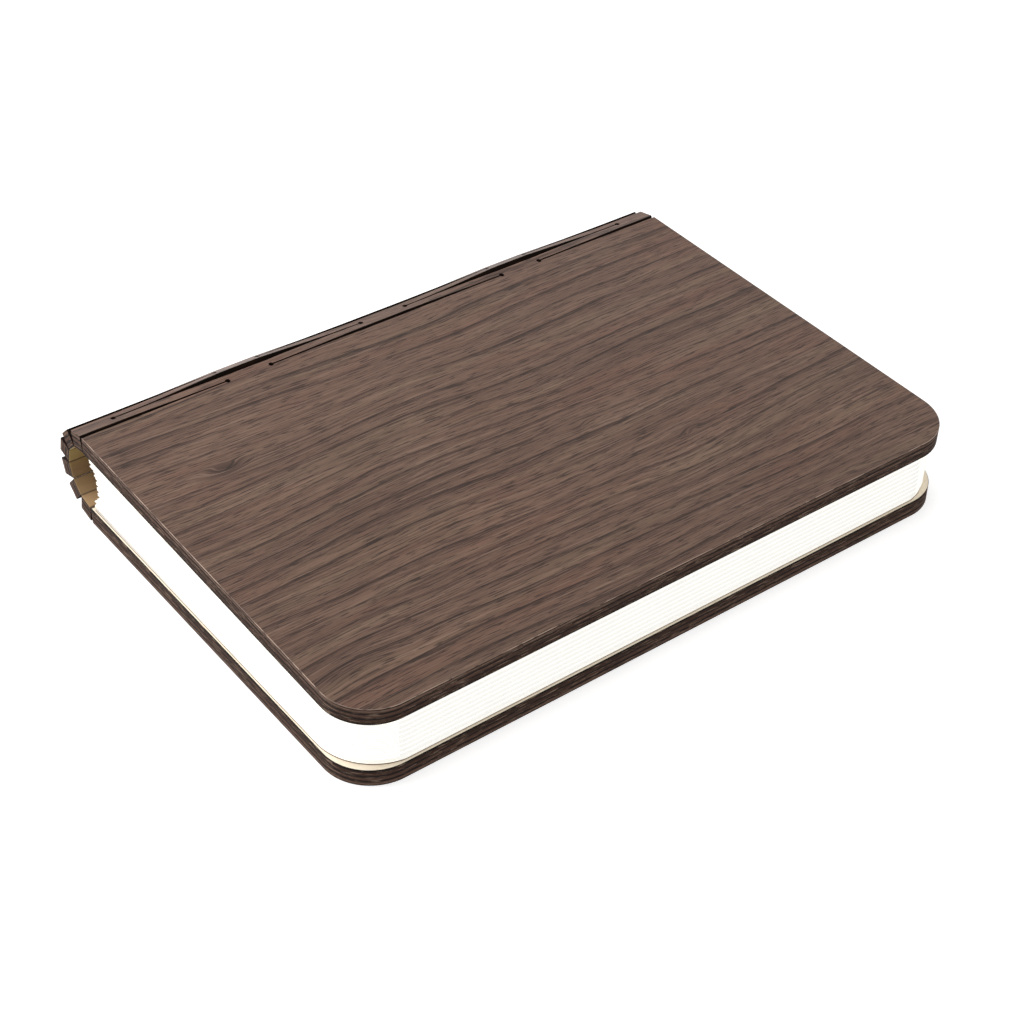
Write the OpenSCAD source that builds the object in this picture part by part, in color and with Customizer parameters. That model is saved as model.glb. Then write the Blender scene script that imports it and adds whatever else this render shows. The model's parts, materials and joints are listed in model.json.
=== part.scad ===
// Folding book lamp, closed and lying on its back cover. Millimetres.
// X runs along the spine, +Y points from the fore-edge to the spine, +Z is up.
// The origin is under the middle of the closed book, on the surface it rests on.

/* [Closed book] */
// Length along the spine
book_l = 170; // [140:1:230]
// Depth from the fore-edge to the back of the spine
book_d = 125; // [100:1:190]
// Thickness at the spine
book_t = 25; // [21:0.5:32]
// Lean of the front cover towards the fore-edge, in degrees
close_tilt = 1.8; // [0.4:0.1:2.2]

/* [Boards] */
// Thickness of the veneered board of covers and staves
board_t = 4.4; // [3:0.1:6]
// Radius of the fore-edge corners of the covers
corner_r = 12; // [3:0.5:25]
// Angle of the fold between a cover and its first stave when closed, in degrees
cover_fold = 12.9; // [8:0.1:18]
// Width of the slit between a cover and its first stave
cover_slit = 1.0; // [0.9:0.1:1.6]
// Clearance of the inner stave edges on each side of a fold
fold_clear = 0.1; // [0.05:0.01:0.3]
// Width of the laser slot along the middle of a stave
slot_w = 0.3; // [0.2:0.05:0.6]
// Diameter of the keyhole at each slot end
keyhole_d = 1.2; // [0.6:0.1:2]
// Length of the uncut bridge at mid length of a stave
mid_bridge = 12; // [6:0.5:20]
// Length of the uncut bridge at each end of a stave
end_bridge = 9.3; // [5:0.1:15]

/* [Pages] */
// Thickness of one leaf of the paper
leaf_t = 0.25; // [0.15:0.05:0.35]
// Gap between two neighbouring pages when closed
page_gap = 0.25; // [0.15:0.01:0.4]
// Inset of the pages from the edges of the covers
page_inset = 0.5; // [0.3:0.1:3]
// Radius of the fore-edge corners of the pages
page_corner_r = 14.5; // [3:0.5:26]

/* [Light bar] */
// Depth of the light bar from its lens to its back
bar_d = 10.1; // [10:0.1:13]
// Length of the light bar
bar_l = 150; // [120:1:160]
// Wall of the light bar housing
bar_wall = 0.9; // [0.7:0.1:1]
// Half of the flat height of the rounded back of the bar
bar_flat = 1.2; // [0.8:0.1:2]
// Thickness of the lens strip
lens_t = 1.0; // [0.6:0.1:1.5]
// Thickness of the circuit boards
pcb_t = 1.0; // [0.6:0.1:1.2]
// Number of light emitting chips
led_count = 12; // [6:1:16]
// Length of the battery cell
cell_l = 100; // [60:1:102]
// Length of the control board
control_l = 38; // [34:1:40]
// Thickness of the cloth tape that ties the bar to the spine
tape_t = 0.25; // [0.15:0.05:0.4]
// Length of the cloth tape
tape_l = 110; // [60:1:140]

/* [Magnets] */
// Diameter of a cover magnet
magnet_d = 8; // [5:0.5:10]
// Thickness of a magnet
magnet_t = 2; // [1:0.1:2.4]
// Distance of the cover magnets from the fore-edge
magnet_in = 11; // [8:0.5:30]
// Distance between the two magnets of a cover
magnet_span = 120; // [60:1:130]
// Diameter of the small magnet that the lid sensor reads
trigger_d = 5; // [3:0.5:6]

/* [Hidden] */

$fn = 48;
eps = 0.01;        // reach of a cut past a face
free = 0.25;       // running clearance between the bar and what moves past it
fit = 0.1;         // clearance of a piece in its pocket
page_count = 8;    // turning pages between the two end pages
stave_count = 6;

// Folds. Stave 1 is next to the front cover, and each one leans by a fold more to stave 6.
inner_fold = (180 + close_tilt - 2 * cover_fold) / (stave_count - 1);
function lean(k) = cover_fold - close_tilt + (k - 1) * inner_fold;
function sum_to(n, f) = n < 1 ? 0 : f(n) + sum_to(n - 1, f);
pitch = (book_t - board_t) / sum_to(stave_count, function(k) sin(lean(k)));
half_slit = board_t / 2 * tan(inner_fold / 2) + fold_clear;
half_cover_slit = max(cover_slit / 2, board_t / 2 * tan(cover_fold / 2) + fold_clear);
function slit_before(k) = k == 1 ? half_cover_slit : half_slit;
function slit_after(k) = k == stave_count ? half_cover_slit : half_slit;

// Fold axes, counted from the front cover, as [Y, Z] with Y from the first of them
function axis_run(k) = sum_to(k, function(i) pitch * cos(lean(i)));
function axis_drop(k) = sum_to(k, function(i) pitch * sin(lean(i)));
spine_reach = max([for (k = [1:stave_count])
    board_t / 2 * sin(lean(k)) + max(
        axis_run(k - 1) + slit_before(k) * cos(lean(k)),
        axis_run(k) - slit_after(k) * cos(lean(k)))]);
first_axis_y = book_d / 2 - spine_reach;
function fold_y(k) = first_axis_y + axis_run(k);
function fold_z(k) = book_t - board_t / 2 - axis_drop(k);
mid_fold = stave_count / 2;
cover_d = first_axis_y + book_d / 2;

// Stack of pages between the inner faces of the covers: two end pages and the turning ones
slots = page_count + 2;
function face_z(y) = fold_z(0) - board_t / 2 / cos(close_tilt) - (fold_y(0) - y) * tan(close_tilt);
function slot_z(s, y) = board_t + (face_z(y) - board_t) * s / slots;
fore_y = -book_d / 2 + page_inset;
root_pitch = slot_z(1, fold_y(0)) - slot_z(0, fold_y(0));
root_half = (root_pitch - page_gap) / 2;
fore_half = (slot_z(1, fore_y) - slot_z(0, fore_y) - page_gap) / 2;

// Roots of the pages: the outer ones lie further back, so that they clear the next page
// when the fan is fully open and each page has turned by one more step.
fan_step = 360 / (page_count + 1);
root_need = root_half * (1 + cos(fan_step)) + page_gap / 2;
function root_step(j) = max(0, (root_need - root_pitch * cos((j - 0.5) * fan_step))
    / sin((j - 0.5) * fan_step));
function root_back(j) = sum_to(j - 1, function(i) root_step(i));

// Light bar, in its own frame with the middle fold axis as origin
bar_half = (page_count - 1) / 2 * root_pitch - root_half - free;
bar_round = bar_half - bar_flat;
half_fold = inner_fold / 2;
bar_back = -(board_t / 2 + tape_t + free + bar_flat * sin(half_fold)
    + bar_round * (1 - cos(half_fold))) / cos(half_fold);
bar_front = bar_back - bar_d;
bar_right = book_l / 2 - page_inset - 0.2;
bar_left = bar_right - bar_l;
cap_t = 1.5;
inner_half = bar_half - bar_wall;
inner_back = bar_back - bar_wall;
inner_front = bar_front + lens_t;
root_front = fold_y(mid_fold) + bar_front - free - 0.1 - root_half - root_back(page_count / 2 - 1);
function root_y(k) = root_front + root_back(ceil(abs(k - (page_count + 1) / 2)));
end_root_y = min(root_y(1), fold_y(0) - half_cover_slit - 1);

// Boards and cell in the bar
led_y = inner_front + 2.0;
led_left = bar_left + 2 * cap_t;
led_right = bar_right - cap_t - 6.6;
led_size = [3.0, 0.8, 2.8];
rib_t = 0.8;
cell_y = led_y + pcb_t + rib_t + fit;
cell_left = bar_left + 2 * cap_t + 1;
usb_size = [5.6, 7.5, 2.6];
pipe_d = 1.4;
// Control board, socket and light pipe are stacked around the middle of the bar
pipe_gap = 0.4;
usb_z = pcb_t - (pcb_t + usb_size[2] + pipe_gap + pipe_d) / 2;
pipe_z = usb_z + usb_size[2] + pipe_gap + pipe_d / 2;
control_y = cell_y;
control_back = inner_back - 1;
control_right = bar_right - cap_t + 0.3;
control_left = control_right - control_l;
usb_zone = 6.4;
wire_d = 0.8;

module in_cover_back() { translate([0, fold_y(stave_count), fold_z(stave_count)]) children(); }
module in_cover_front() {
    translate([0, fold_y(0), fold_z(0)]) rotate([close_tilt, 0, 0]) mirror([0, 0, 1]) children();
}
module in_stave(k) {
    translate([0, fold_y(k - 1), fold_z(k - 1)]) rotate([-lean(k), 0, 0]) children();
}
module in_bar() {
    translate([0, fold_y(mid_fold), fold_z(mid_fold)]) rotate([close_tilt / 2, 0, 0]) children();
}
module box(low, high) { translate(low) cube(high - low); }

// Sheet outline from the fore-edge to the back, with two rounded fore-edge corners
module leaf_outline(half_l, front, back, r) {
    translate([-half_l, front + r]) square([2 * half_l, back - front - r]);
    translate([-half_l + r, front]) square([2 * (half_l - r), r + eps]);
    for (s = [-1, 1]) translate([s * (half_l - r), front + r]) circle(r);
}

// Cover board with its inner face up: blind pockets for its magnets on that side
module cover_board() {
    difference() {
        translate([0, 0, -board_t / 2]) linear_extrude(board_t)
            leaf_outline(book_l / 2, -cover_d, -half_cover_slit, corner_r);
        magnet_places() cylinder(h = magnet_t + eps, d = magnet_d + 2 * fit);
    }
}
module magnet_places() {
    for (s = [-1, 1])
        translate([s * magnet_span / 2, -cover_d + magnet_in, board_t / 2 - magnet_t]) children();
}
module trigger_place() {
    translate([control_left + 6, -half_cover_slit - trigger_d, board_t / 2 - magnet_t]) children();
}
module back_cover() { color("#5d4a42") in_cover_back() cover_board(); }
module front_cover() {
    color("#6f5a50") in_cover_front() difference() {
        cover_board();
        trigger_place() cylinder(h = magnet_t + eps, d = trigger_d + 2 * fit);
    }
}
module back_cover_magnets() {
    color("silver") in_cover_back() magnet_places() cylinder(h = magnet_t, d = magnet_d);
}
module front_cover_magnets() {
    color("silver") in_cover_front() magnet_places() cylinder(h = magnet_t, d = magnet_d);
}
module trigger_magnet() {
    color("silver") in_cover_front() trigger_place() cylinder(h = magnet_t, d = trigger_d);
}

// Stave between two folds, with a keyhole slot on each side of its middle bridge
module stave(k) {
    low = slit_before(k);
    high = pitch - slit_after(k);
    slot_x = [mid_bridge / 2, book_l / 2 - end_bridge];
    color(k % 2 == 0 ? "#5d4a42" : "#6f5a50") in_stave(k) difference() {
        box([-book_l / 2, low, -board_t / 2], [book_l / 2, high, board_t / 2]);
        for (s = [-1, 1]) {
            translate([s * (slot_x[0] + slot_x[1]) / 2, pitch / 2, 0])
                cube([slot_x[1] - slot_x[0], slot_w, board_t + 2 * eps], center = true);
            for (x = slot_x) translate([s * x, pitch / 2, 0])
                cylinder(h = board_t + 2 * eps, d = keyhole_d, center = true);
        }
    }
}

// Page folded at the fore-edge, open at its root: two leaves with a sliver of air between.
// Its root is at y = 0 and it reaches to y = -l. The ranges give its lower and upper face.
module folded_page(l, root, fore) {
    tip = (fore[1] - fore[0]) / 4;
    middle = (fore[0] + fore[1]) / 2;
    air = (2 * tip - leaf_t) * 0.8;
    air_end = -l + 2 * tip;
    intersection() {
        rotate([90, 0, 90]) translate([0, 0, -book_l / 2]) linear_extrude(book_l) difference() {
            polygon([[0, root[0]], [-l + tip, fore[0]], [-l, middle], [-l + tip, fore[1]], [0, root[1]]]);
            polygon([[1, root[0] + leaf_t], [air_end, middle - air], [air_end, middle + air],
                [1, root[1] - leaf_t]]);
        }
        translate([0, 0, -book_t]) linear_extrude(2 * book_t)
            leaf_outline(book_l / 2 - page_inset, -l, 0, page_corner_r);
    }
}
module page(k) {
    y = root_y(k);
    color("ivory") translate([0, y, slot_z(k + 0.5, y)])
        rotate([close_tilt * (k + 0.5) / slots, 0, 0])
            folded_page(y - fore_y, root_half * [-1, 1], fore_half * [-1, 1]);
}
// End page: its outer leaf is glued to the inner face of the cover
module end_page() {
    translate([0, end_root_y - fold_y(0), board_t / 2]) folded_page(end_root_y - fore_y,
        [0, 2 * root_half + page_gap / 2], [0, 2 * fore_half + page_gap / 2]);
}
module back_end_page() { color("ivory") in_cover_back() end_page(); }
module front_end_page() { color("ivory") in_cover_front() end_page(); }

// Cross-section of the bar body: square lens side, rounded back
module bar_section(front, back, half, r) {
    translate([front, -half]) square([back - r - front, 2 * half]);
    translate([back - r - eps, -half + r]) square([r + eps, 2 * (half - r)]);
    for (s = [-1, 1]) translate([back - r, s * (half - r)]) circle(r);
}
module along_x(left, right) {
    translate([left, 0, 0]) rotate([90, 0, 90]) linear_extrude(right - left) children();
}
module bar_housing() {
    color("white") in_bar() {
        difference() {
            along_x(bar_left + cap_t, bar_right - cap_t)
                bar_section(inner_front, bar_back, bar_half, bar_round);
            along_x(bar_left, bar_right)
                bar_section(inner_front - 1, inner_back, inner_half, bar_round - bar_wall);
        }
        for (s = [-1, 1]) led_rib(s);
    }
}
// Rib along the wall that the LED board lies against
module led_rib(side) {
    low = inner_half - 0.6;
    high = inner_half + bar_wall / 2;
    box([led_left, led_y + pcb_t, side > 0 ? low : -high],
        [led_right, led_y + pcb_t + rib_t, side > 0 ? high : -low]);
}
module bar_lens() {
    color("whitesmoke") in_bar()
        box([bar_left + cap_t, bar_front, -bar_half], [bar_right - cap_t, inner_front, bar_half]);
}
// End cap: a plate with the full outline of the bar and a plug inside the housing
module cap_body() {
    along_x(0, cap_t) bar_section(bar_front, bar_back, bar_half, bar_round);
}
module bar_end_cap() {
    color("white") in_bar() {
        translate([bar_left, 0, 0]) cap_body();
        along_x(bar_left + cap_t, bar_left + 2 * cap_t - fit) bar_section(
            inner_front + fit, inner_back - fit, inner_half - fit, bar_round - bar_wall - fit);
    }
}
module usb_place() {
    translate([bar_right - usb_size[0], (inner_front + inner_back - usb_size[1]) / 2, usb_z])
        children();
}
module pipe_place() { translate([0, (inner_front + inner_back) / 2, pipe_z]) children(); }
module bar_socket_cap() {
    color("white") in_bar() difference() {
        translate([bar_right - cap_t, 0, 0]) cap_body();
        usb_place() translate([0, -fit, -fit]) cube(usb_size + 2 * fit * [1, 1, 1]);
        box([bar_right - cap_t - eps, inner_front + 0.3 - fit, usb_z - pcb_t - fit],
            [control_right + fit, control_back + fit, usb_z]);
        pipe_place() translate([bar_right - cap_t - eps, 0, 0]) rotate([0, 90, 0])
            cylinder(h = cap_t + 2 * eps, d = pipe_d + fit);
    }
}
module led_board() {
    color("honeydew") in_bar() box([led_left + fit, led_y, -inner_half + fit],
        [led_right, led_y + pcb_t, inner_half - fit]);
}
module led_chips() {
    span = led_right - led_left - 12;
    color("khaki") in_bar() for (i = [0:led_count - 1])
        translate([led_left + 6 + span * i / (led_count - 1) - led_size[0] / 2,
            led_y - led_size[1], -led_size[2] / 2]) cube(led_size);
}
module battery_cell() {
    color("gainsboro") in_bar() intersection() {
        along_x(cell_left, cell_left + cell_l) bar_section(
            inner_front, inner_back - fit, inner_half - 3 * fit, bar_round - bar_wall - 2 * fit);
        box([cell_left - 1, cell_y, -bar_half], [cell_left + cell_l + 1, bar_back, bar_half]);
    }
}
module battery_leads() {
    y = (cell_y + inner_back) / 2;
    color("firebrick") in_bar() for (side = [-1, 1])
        translate([cell_left + cell_l, y + side * wire_d, usb_z - pcb_t / 2]) rotate([0, 90, 0])
            cylinder(h = control_left - cell_left - cell_l, d = wire_d);
}
// Two bent leads from the back of the LED board to the top of the control board
module led_leads() {
    color("firebrick") in_bar() for (i = [0, 1])
        translate([control_left + 14 + 2 * i, led_y + pcb_t, 1.4]) {
            rotate([-90, 0, 0]) cylinder(h = 2.2, d = wire_d);
            translate([0, 2.2, 0]) sphere(d = wire_d);
            translate([0, 2.2, usb_z - 1.4]) cylinder(h = 1.4 - usb_z, d = wire_d);
        }
}
// Control board: narrow behind the LED board, wide under the socket
module control_board() {
    color("seagreen") in_bar() {
        box([control_left, control_y, usb_z - pcb_t],
            [control_right, control_back, usb_z]);
        box([control_right - usb_zone, inner_front + 0.3, usb_z - pcb_t],
            [control_right, control_y + eps, usb_z]);
    }
}
module charge_chip() {
    color("dimgray") in_bar()
        box([control_left + 19, control_y + 0.2, usb_z],
            [control_left + 23.9, control_back - 0.2, usb_z + 1.2]);
}
module lid_sensor() {
    color("black") in_bar()
        box([control_left + 5, control_y + 1.5, usb_z], [control_left + 7.9, control_y + 2.8, usb_z + 1]);
}
module usb_socket() {
    wall = 0.3;
    tongue = [4.4, 3.6, 0.5];
    color("silver") in_bar() usb_place() {
        difference() {
            cube(usb_size);
            translate([1, wall, wall]) cube(usb_size - [0, 2 * wall, 2 * wall]);
        }
        translate([1 - eps, (usb_size[1] - tongue[1]) / 2, usb_size[2] / 2]) cube(tongue);
    }
}
module charge_light_pipe() {
    color("lightcyan") in_bar() pipe_place() translate([bar_right - 4, 0, 0]) rotate([0, 90, 0])
        cylinder(h = 4, d = pipe_d);
}
// Cloth tape leaf glued to the inner face of a stave next to the middle fold
module bar_tape(k, from_first) {
    width = pitch - 2 * half_slit - 0.4;
    low = from_first ? half_slit + 0.2 : pitch - half_slit - 0.2 - width;
    color("white") in_stave(k) box([-tape_l / 2, low, -board_t / 2 - tape_t],
        [tape_l / 2, low + width, -board_t / 2]);
}

back_cover();
front_cover();
stave(1);  // stave_1
stave(2);  // stave_2
stave(3);  // stave_3
stave(4);  // stave_4
stave(5);  // stave_5
stave(6);  // stave_6
back_end_page();
front_end_page();
page(1);  // page_1
page(2);  // page_2
page(3);  // page_3
page(4);  // page_4
page(5);  // page_5
page(6);  // page_6
page(7);  // page_7
page(8);  // page_8
bar_housing();
bar_lens();
bar_end_cap();
bar_socket_cap();
led_board();
led_chips();
battery_cell();
battery_leads();
led_leads();
control_board();
charge_chip();
lid_sensor();
usb_socket();
charge_light_pipe();
bar_tape(mid_fold, false);  // bar_tape_upper
bar_tape(mid_fold + 1, true);  // bar_tape_lower
back_cover_magnets();
front_cover_magnets();
trigger_magnet();
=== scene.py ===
"""Folding book lamp in laser-cut walnut veneered board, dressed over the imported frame.

Lengths are metres in the frame's own axes: X along the spine, Y from the fore-edge to the spine, Z up.
"""

import json
import math

import bmesh
import bpy
import numpy as np
from bpy.props import FloatProperty, FloatVectorProperty, PointerProperty
from mathutils import Matrix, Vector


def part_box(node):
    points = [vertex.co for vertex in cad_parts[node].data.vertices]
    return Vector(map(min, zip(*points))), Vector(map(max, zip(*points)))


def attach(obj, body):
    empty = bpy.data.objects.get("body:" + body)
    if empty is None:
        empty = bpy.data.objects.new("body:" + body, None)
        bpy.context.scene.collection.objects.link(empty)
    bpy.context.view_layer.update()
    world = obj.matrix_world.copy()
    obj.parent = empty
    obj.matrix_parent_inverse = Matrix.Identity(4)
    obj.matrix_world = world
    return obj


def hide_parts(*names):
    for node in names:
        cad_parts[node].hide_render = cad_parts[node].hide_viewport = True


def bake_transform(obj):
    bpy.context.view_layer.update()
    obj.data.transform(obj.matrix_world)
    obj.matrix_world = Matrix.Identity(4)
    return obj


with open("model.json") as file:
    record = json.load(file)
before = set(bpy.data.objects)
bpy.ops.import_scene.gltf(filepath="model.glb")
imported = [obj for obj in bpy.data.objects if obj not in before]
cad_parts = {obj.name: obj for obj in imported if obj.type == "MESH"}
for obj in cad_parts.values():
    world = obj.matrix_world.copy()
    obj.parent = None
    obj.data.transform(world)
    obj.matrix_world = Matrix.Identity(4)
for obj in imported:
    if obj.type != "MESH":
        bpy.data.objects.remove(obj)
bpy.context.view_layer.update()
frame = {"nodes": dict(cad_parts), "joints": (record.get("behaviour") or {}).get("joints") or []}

bl_info = {
    "name": "Folding book lamp",
    "version": (1, 0, 0),
    "blender": (4, 5, 0),
    "location": "3D View > Sidebar > Book lamp",
    "description": "Covers, lattice spine, pages and light bar of a folding book lamp",
    "category": "Object",
}

MM = 0.001
STAVES = 6

# What is left between edges that close against each other, so that their faces don't coincide
HAIR = 0.003 * MM

# Stations along a keyhole, a run of slit, a bridge and a cover's rounded corner, and a pocket's sides
KEYHOLE_STEPS, RUN_STEPS, BRIDGE_STEPS, CORNER_STEPS, POCKET_SIDES = 9, 14, 5, 25, 48

BIRCH = "#FFF3DE"

# Slots of the board's finishes: its two faces, the walls of the slits, the cut edges and the arris, worn pale
# and painted with a highlight
OUTER, INNER, SLIT, EDGE, ARRIS = range(5)

# Fold axes from the front cover to the back cover, as Y and Z
FOLD_NAMES = ("front_cover_fold", "fold_1_2", "fold_2_3", "middle_fold", "fold_4_5", "fold_5_6",
              "back_cover_fold")
JOINTS = {joint["name"]: joint for joint in frame["joints"]}
FOLDS = np.array([JOINTS[name]["pos_m"][1:] for name in FOLD_NAMES])
PITCH = float(np.hypot(*(FOLDS[1] - FOLDS[0])))

# Lean of the front cover, of each stave and of the back cover, and the fold between neighbours
STEPS = np.diff(FOLDS, axis=0)
STAVE_LEAN = np.arctan2(-STEPS[:, 1], STEPS[:, 0])
CLOSE_TILT = math.radians(JOINTS["front_cover_fold"]["range_deg"][1]) - 2 * STAVE_LEAN[0]
LEAN = np.array([-CLOSE_TILT, *STAVE_LEAN, math.pi])
FOLD_ANGLE = np.diff(LEAN)

# Board of the covers and staves
BACK_LOW, BACK_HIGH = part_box("back_cover")
HALF_LENGTH = BACK_HIGH.x
HALF_BOARD = (BACK_HIGH.z - BACK_LOW.z) / 2
COVER_DEPTH = FOLDS[-1, 0] - BACK_LOW.y

# Outline of the pages: half their length, and how far they reach towards the fore-edge
PAGE_LOW, PAGE_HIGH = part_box("page_4")
PAGE_REACH = (PAGE_HIGH.x, -PAGE_LOW.y)


# Colours and node trees

def linear(code):
    """An sRGB hex value as linear red, green, blue and alpha."""
    parts = np.array([int(code[i:i + 2], 16) for i in (1, 3, 5)]) / 255
    values = np.where(parts <= 0.04045, parts / 12.92, ((parts + 0.055) / 1.055) ** 2.4)
    return (*values.tolist(), 1.0)


def add(tree, kind, inputs=(), out=0, stops=(), **settings):
    """Adds a node with its settings and links, and returns one of its outputs. Inputs are values or other
    nodes' outputs, by number or name, and stops are the places and hex values of a colour ramp."""
    node = tree.nodes.new("ShaderNode" + kind)
    for name, value in settings.items():
        setattr(node, name, value)
    for key, value in inputs.items() if isinstance(inputs, dict) else enumerate(inputs):
        if isinstance(value, bpy.types.NodeSocket):
            tree.links.new(value, node.inputs[key])
        else:
            node.inputs[key].default_value = value
    for number, (place, code) in enumerate(stops):
        ramp = node.color_ramp.elements
        stop = ramp[number] if number < 2 else ramp.new(place)
        stop.position, stop.color = place, linear(code)
    return node.outputs[out] if node.outputs else node


def blank(name, colour):
    """A new material with an empty node tree."""
    material = bpy.data.materials.new(name)
    material.use_nodes = True
    material.diffuse_color = colour
    material.node_tree.nodes.clear()
    return material, material.node_tree


def coats(tree, place, colour, *layers, lift=0.0):
    """Coats of colour laid over one another, each through clouds of noise. A coat is the size of its clouds
    along X, Y and Z in millimetres, their detail, the noise at which it starts and at which it is full, its
    strength and its hex value. Lift is added to the noise, so the clouds gather where it is high. Returns
    the colour and the last coat's mask."""
    mask = None
    for size, detail, start, full, strength, code in layers:
        spread = add(tree, "Mapping", {"Vector": place, "Scale": [1 / (MM * length) for length in size]})
        cloud = add(tree, "TexNoise", {"Vector": spread, "Scale": 1.0, "Detail": detail, "Roughness": 0.55})
        cloud = add(tree, "Math", [cloud, lift], operation="ADD")
        mask = add(tree, "MapRange", [cloud, start, full, 0.0, strength], interpolation_type="SMOOTHSTEP")
        colour = add(tree, "Mix", {0: mask, 6: colour, 7: linear(code)}, out=2, data_type="RGBA")
    return colour, mask


# Small eyes and smoky places of the front cover's veneer: X and distance from its fold, half length and
# half width, how far the growth lines swerve there, all in millimetres, and how dark the place is
VENEER_EYES = ((-64.5, -28.8, 9, 3.4, 1.9, 0.75), (-52, -30, 24, 8, 1.2, 0.3), (-76, -97, 16, 7, -1.2, 0.5),
               (10.1, -61.4, 5, 2.2, 1.0, 0.4), (32.6, -76.4, 5, 2.2, -1.0, 0.45),
               (58, -20, 14, 5, 1.0, 0.15))


def walnut_veneer(ground):
    """Walnut veneer, sliced and matt varnished: growth lines, long fibres and short open pores."""
    material, tree = blank("walnut_veneer", ground)
    place = add(tree, "UVMap", uv_map="sheet")
    # The grain wanders by a millimetre or two over a hand's width, and swerves round the eyes
    spread = add(tree, "Mapping", {"Vector": place, "Scale": (9.0, 22.0, 1.0)})
    wander = add(tree, "TexNoise", {"Vector": spread, "Scale": 1.0, "Detail": 2.0})
    bend = add(tree, "Math", [wander, 0.009], operation="MULTIPLY")
    smoke = 0.0
    for x, s, half_length, half_width, swerve, dark in VENEER_EYES:
        away = add(tree, "VectorMath", [place, (x * MM, s * MM, 0.0)], operation="SUBTRACT")
        size = (1 / (half_length * MM), 1 / (half_width * MM), 0.0)
        away = add(tree, "VectorMath", [away, size], operation="MULTIPLY")
        away = add(tree, "VectorMath", [away], out="Value", operation="LENGTH")
        spot = add(tree, "MapRange", [away, 0.0, 1.0, 1.0, 0.0], interpolation_type="SMOOTHSTEP")
        bend = add(tree, "Math", [spot, swerve * MM, bend], operation="MULTIPLY_ADD")
        smoke = add(tree, "Math", [spot, dark, smoke], operation="MULTIPLY_ADD")
    grain = add(tree, "VectorMath", [place, add(tree, "CombineXYZ", {"Y": bend})], operation="ADD")
    # Broad bands, olive and mauve
    colour, _ = coats(tree, grain, ground,
                      ((140, 10, 1000), 3, 0.42, 0.64, 0.5, "#624A3E"),
                      ((60, 12, 90), 2, 0.48, 0.66, 0.6, "#7A594B"),
                      ((90, 6, 300), 2, 0.5, 0.64, 0.45, "#846D5A"))
    # Growth lines some 5 mm apart: dark on one side, fading on the other, stronger in places
    cross = add(tree, "SeparateXYZ", [grain], out="Y")
    spread = add(tree, "Mapping", {"Vector": grain, "Scale": (7.0, 26.0, 3.0)})
    uneven = add(tree, "TexNoise", {"Vector": spread, "Scale": 1.0, "Detail": 2.0})
    uneven = add(tree, "Math", [uneven, 2.4], operation="MULTIPLY")
    rings = add(tree, "Math", [cross, 1 / (5.0 * MM), uneven], operation="MULTIPLY_ADD")
    ring = add(tree, "Math", [rings], operation="FRACT")
    line = add(tree, "ValToRGB", [ring], stops=[
        (0.0, "#606060"), (1.0, "#D0D0D0"), (0.05, "#000000"), (0.45, "#000000"), (0.75, "#808080"),
        (0.88, "#D0D0D0"), (0.96, "#FFFFFF")])
    spread = add(tree, "Mapping", {"Vector": grain, "Scale": (8.0, 110.0, 9.0)})
    strong = add(tree, "TexNoise", {"Vector": spread, "Scale": 1.0, "Detail": 2.0})
    strong = add(tree, "MapRange", [strong, 0.4, 0.58, 0.4, 1.0], interpolation_type="SMOOTHSTEP")
    line = add(tree, "Math", [line, strong], operation="MULTIPLY")
    ringed = add(tree, "Math", [line, 0.95], operation="MULTIPLY")
    colour = add(tree, "Mix", {0: ringed, 6: colour, 7: linear("#3F2C25")}, out=2, data_type="RGBA")
    colour = add(tree, "Mix", {0: smoke, 6: colour, 7: linear("#48332B")}, out=2, data_type="RGBA")
    # Long fibres half a millimetre wide, dark and light
    colour, fibre = coats(tree, grain, colour,
                          ((60, 0.6, 1000), 3, 0.46, 0.66, 0.32, "#4A352C"),
                          ((40, 0.5, 700), 3, 0.5, 0.68, 0.45, "#9A8070"))
    # Open pores: dashes of 2 to 8 mm that crowd along the growth lines. Real ones are 0.2 mm wide, and
    # these are drawn nearly twice as wide so that they show.
    crowd = add(tree, "Math", [line, 0.07], operation="MULTIPLY")
    colour, pore = coats(tree, grain, colour,
                         ((14, 0.38, 400), 2, 0.545, 0.595, 0.5, "#35251F"),
                         ((6, 0.34, 1000), 2, 0.56, 0.61, 0.7, "#291C17"), lift=crowd)
    bump = add(tree, "Bump", {"Height": pore, "Distance": 0.1 * MM, "Strength": 0.3}, invert=True)
    rough = add(tree, "MapRange", [fibre, 0.0, 0.6, 0.4, 0.5])
    add(tree, "OutputMaterial", [add(tree, "BsdfPrincipled", {
        "Base Color": colour, "Roughness": rough, "Specular IOR Level": 0.2, "Normal": bump})])
    return material


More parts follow.
